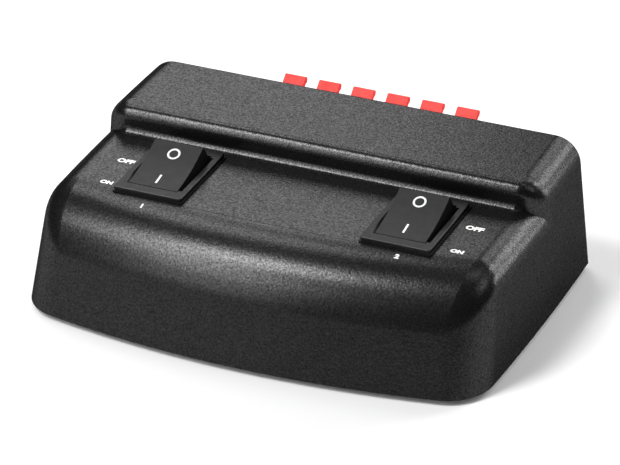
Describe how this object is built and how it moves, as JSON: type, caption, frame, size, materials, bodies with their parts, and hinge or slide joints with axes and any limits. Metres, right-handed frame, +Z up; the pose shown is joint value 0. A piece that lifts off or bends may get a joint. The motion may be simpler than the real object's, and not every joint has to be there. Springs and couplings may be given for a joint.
{
  "type": "speaker selector switch",
  "caption": "Low moulded box with rocker switches on its lower front deck and rows of sprung push terminals at the back, for choosing which loudspeakers play.",
  "frame": {"origin": "on the surface under the feet, below the middle of the whole box and its lever tips", "axes": "+X to the right of the box seen from its front, +Y to its back, +Z up"},
  "size_m": [0.13, 0.098, 0.0376],
  "materials": {
    "housing_plastic": "spark-eroded black ABS",
    "switch_plastic": "smooth black nylon",
    "terminal_plastic": "black moulded nylon",
    "red_plastic": "coral red ABS",
    "black_plastic": "black ABS",
    "rubber": "matt black rubber",
    "screw_steel": "black zinc plated steel",
    "spring_steel": "bright spring steel",
    "plated_strip": "tin-plated brass",
    "brass": "bare brass",
    "copper": "tinned copper",
    "board": "phenolic board",
    "red_sleeve": "red PVC insulation",
    "white_sleeve": "white PVC insulation"
  },
  "bodies": {
    "housing": {"upper_housing": "housing_plastic", "base_plate": "housing_plastic", "base_screws": "screw_steel", "rubber_feet": "rubber", "terminal_block": "terminal_plastic", "terminal_back_board": "board", "terminal_screws": "screw_steel", "red_contact_strips": "plated_strip", "black_contact_strips": "plated_strip", "left_link_wire": "copper", "right_link_wire": "copper", "red_lever_spring_1": "spring_steel", "red_lever_spring_2": "spring_steel", "red_lever_spring_3": "spring_steel", "red_lever_spring_4": "spring_steel", "red_lever_spring_5": "spring_steel", "red_lever_spring_6": "spring_steel", "black_lever_spring_1": "spring_steel", "black_lever_spring_2": "spring_steel", "black_lever_spring_3": "spring_steel", "black_lever_spring_4": "spring_steel", "black_lever_spring_5": "spring_steel", "black_lever_spring_6": "spring_steel", "switch_1_frame": "switch_plastic", "switch_1_blades": "brass", "switch_2_frame": "switch_plastic", "switch_2_blades": "brass", "switch_1_left_output_wire": "white_sleeve", "switch_1_left_feed_wire": "white_sleeve", "switch_1_right_output_wire": "red_sleeve", "switch_1_right_feed_wire": "red_sleeve", "switch_2_left_output_wire": "white_sleeve", "switch_2_left_feed_wire": "white_sleeve", "switch_2_right_output_wire": "red_sleeve", "switch_2_right_feed_wire": "red_sleeve"},
    "red_lever_1": {"red_lever_1": "red_plastic"},
    "red_lever_2": {"red_lever_2": "red_plastic"},
    "red_lever_3": {"red_lever_3": "red_plastic"},
    "red_lever_4": {"red_lever_4": "red_plastic"},
    "red_lever_5": {"red_lever_5": "red_plastic"},
    "red_lever_6": {"red_lever_6": "red_plastic"},
    "black_lever_1": {"black_lever_1": "black_plastic"},
    "black_lever_2": {"black_lever_2": "black_plastic"},
    "black_lever_3": {"black_lever_3": "black_plastic"},
    "black_lever_4": {"black_lever_4": "black_plastic"},
    "black_lever_5": {"black_lever_5": "black_plastic"},
    "black_lever_6": {"black_lever_6": "black_plastic"},
    "switch_1_rocker": {"switch_1_rocker": "switch_plastic", "switch_1_plungers": "brass", "switch_1_plunger_springs": "spring_steel"},
    "switch_1_contacts": {"switch_1_left_contact": "brass", "switch_1_right_contact": "brass"},
    "switch_2_rocker": {"switch_2_rocker": "switch_plastic", "switch_2_plungers": "brass", "switch_2_plunger_springs": "spring_steel"},
    "switch_2_contacts": {"switch_2_left_contact": "brass", "switch_2_right_contact": "brass"}
  },
  "joints": [
    {"name": "red_lever_1_press", "type": "hinge", "parent": "housing", "child": "red_lever_1", "pos_m": [-0.025, 0.02795, 0.0282], "axis": [-1, 0, 0], "range_deg": [0, 18], "stiffness_Nm_per_rad": 0.28, "springref_deg": -12.61, "deforming": ["red_lever_spring_1"]},
    {"name": "red_lever_2_press", "type": "hinge", "parent": "housing", "child": "red_lever_2", "pos_m": [-0.015, 0.02795, 0.0282], "axis": [-1, 0, 0], "range_deg": [0, 18], "stiffness_Nm_per_rad": 0.28, "springref_deg": -12.61, "deforming": ["red_lever_spring_2"]},
    {"name": "red_lever_3_press", "type": "hinge", "parent": "housing", "child": "red_lever_3", "pos_m": [-0.005, 0.02795, 0.0282], "axis": [-1, 0, 0], "range_deg": [0, 18], "stiffness_Nm_per_rad": 0.28, "springref_deg": -12.61, "deforming": ["red_lever_spring_3"]},
    {"name": "red_lever_4_press", "type": "hinge", "parent": "housing", "child": "red_lever_4", "pos_m": [0.005, 0.02795, 0.0282], "axis": [-1, 0, 0], "range_deg": [0, 18], "stiffness_Nm_per_rad": 0.28, "springref_deg": -12.61, "deforming": ["red_lever_spring_4"]},
    {"name": "red_lever_5_press", "type": "hinge", "parent": "housing", "child": "red_lever_5", "pos_m": [0.015, 0.02795, 0.0282], "axis": [-1, 0, 0], "range_deg": [0, 18], "stiffness_Nm_per_rad": 0.28, "springref_deg": -12.61, "deforming": ["red_lever_spring_5"]},
    {"name": "red_lever_6_press", "type": "hinge", "parent": "housing", "child": "red_lever_6", "pos_m": [0.025, 0.02795, 0.0282], "axis": [-1, 0, 0], "range_deg": [0, 18], "stiffness_Nm_per_rad": 0.28, "springref_deg": -12.61, "deforming": ["red_lever_spring_6"]},
    {"name": "black_lever_1_press", "type": "hinge", "parent": "housing", "child": "black_lever_1", "pos_m": [-0.025, 0.02795, 0.0132], "axis": [-1, 0, 0], "range_deg": [0, 18], "stiffness_Nm_per_rad": 0.28, "springref_deg": -12.61, "deforming": ["black_lever_spring_1"]},
    {"name": "black_lever_2_press", "type": "hinge", "parent": "housing", "child": "black_lever_2", "pos_m": [-0.015, 0.02795, 0.0132], "axis": [-1, 0, 0], "range_deg": [0, 18], "stiffness_Nm_per_rad": 0.28, "springref_deg": -12.61, "deforming": ["black_lever_spring_2"]},
    {"name": "black_lever_3_press", "type": "hinge", "parent": "housing", "child": "black_lever_3", "pos_m": [-0.005, 0.02795, 0.0132], "axis": [-1, 0, 0], "range_deg": [0, 18], "stiffness_Nm_per_rad": 0.28, "springref_deg": -12.61, "deforming": ["black_lever_spring_3"]},
    {"name": "black_lever_4_press", "type": "hinge", "parent": "housing", "child": "black_lever_4", "pos_m": [0.005, 0.02795, 0.0132], "axis": [-1, 0, 0], "range_deg": [0, 18], "stiffness_Nm_per_rad": 0.28, "springref_deg": -12.61, "deforming": ["black_lever_spring_4"]},
    {"name": "black_lever_5_press", "type": "hinge", "parent": "housing", "child": "black_lever_5", "pos_m": [0.015, 0.02795, 0.0132], "axis": [-1, 0, 0], "range_deg": [0, 18], "stiffness_Nm_per_rad": 0.28, "springref_deg": -12.61, "deforming": ["black_lever_spring_5"]},
    {"name": "black_lever_6_press", "type": "hinge", "parent": "housing", "child": "black_lever_6", "pos_m": [0.025, 0.02795, 0.0132], "axis": [-1, 0, 0], "range_deg": [0, 18], "stiffness_Nm_per_rad": 0.28, "springref_deg": -12.61, "deforming": ["black_lever_spring_6"]},
    {"name": "switch_1_rock", "type": "hinge", "parent": "housing", "child": "switch_1_rocker", "pos_m": [-0.0345, -0.01106, 0.0277], "axis": [-1, 0, 0], "range_deg": [0, 32]},
    {"name": "switch_1_contact_rock", "type": "hinge", "parent": "housing", "child": "switch_1_contacts", "pos_m": [-0.0345, -0.01106, 0.021], "axis": [-1, 0, 0], "range_deg": [-16, 0]},
    {"name": "switch_2_rock", "type": "hinge", "parent": "housing", "child": "switch_2_rocker", "pos_m": [0.0345, -0.01106, 0.0277], "axis": [-1, 0, 0], "range_deg": [0, 32]},
    {"name": "switch_2_contact_rock", "type": "hinge", "parent": "housing", "child": "switch_2_contacts", "pos_m": [0.0345, -0.01106, 0.021], "axis": [-1, 0, 0], "range_deg": [-16, 0]}
  ],
  "couplings": [
    {"joint": "switch_1_contact_rock", "follows": "switch_1_rock", "ratio": -0.5},
    {"joint": "switch_2_contact_rock", "follows": "switch_2_rock", "ratio": -0.5}
  ]
}
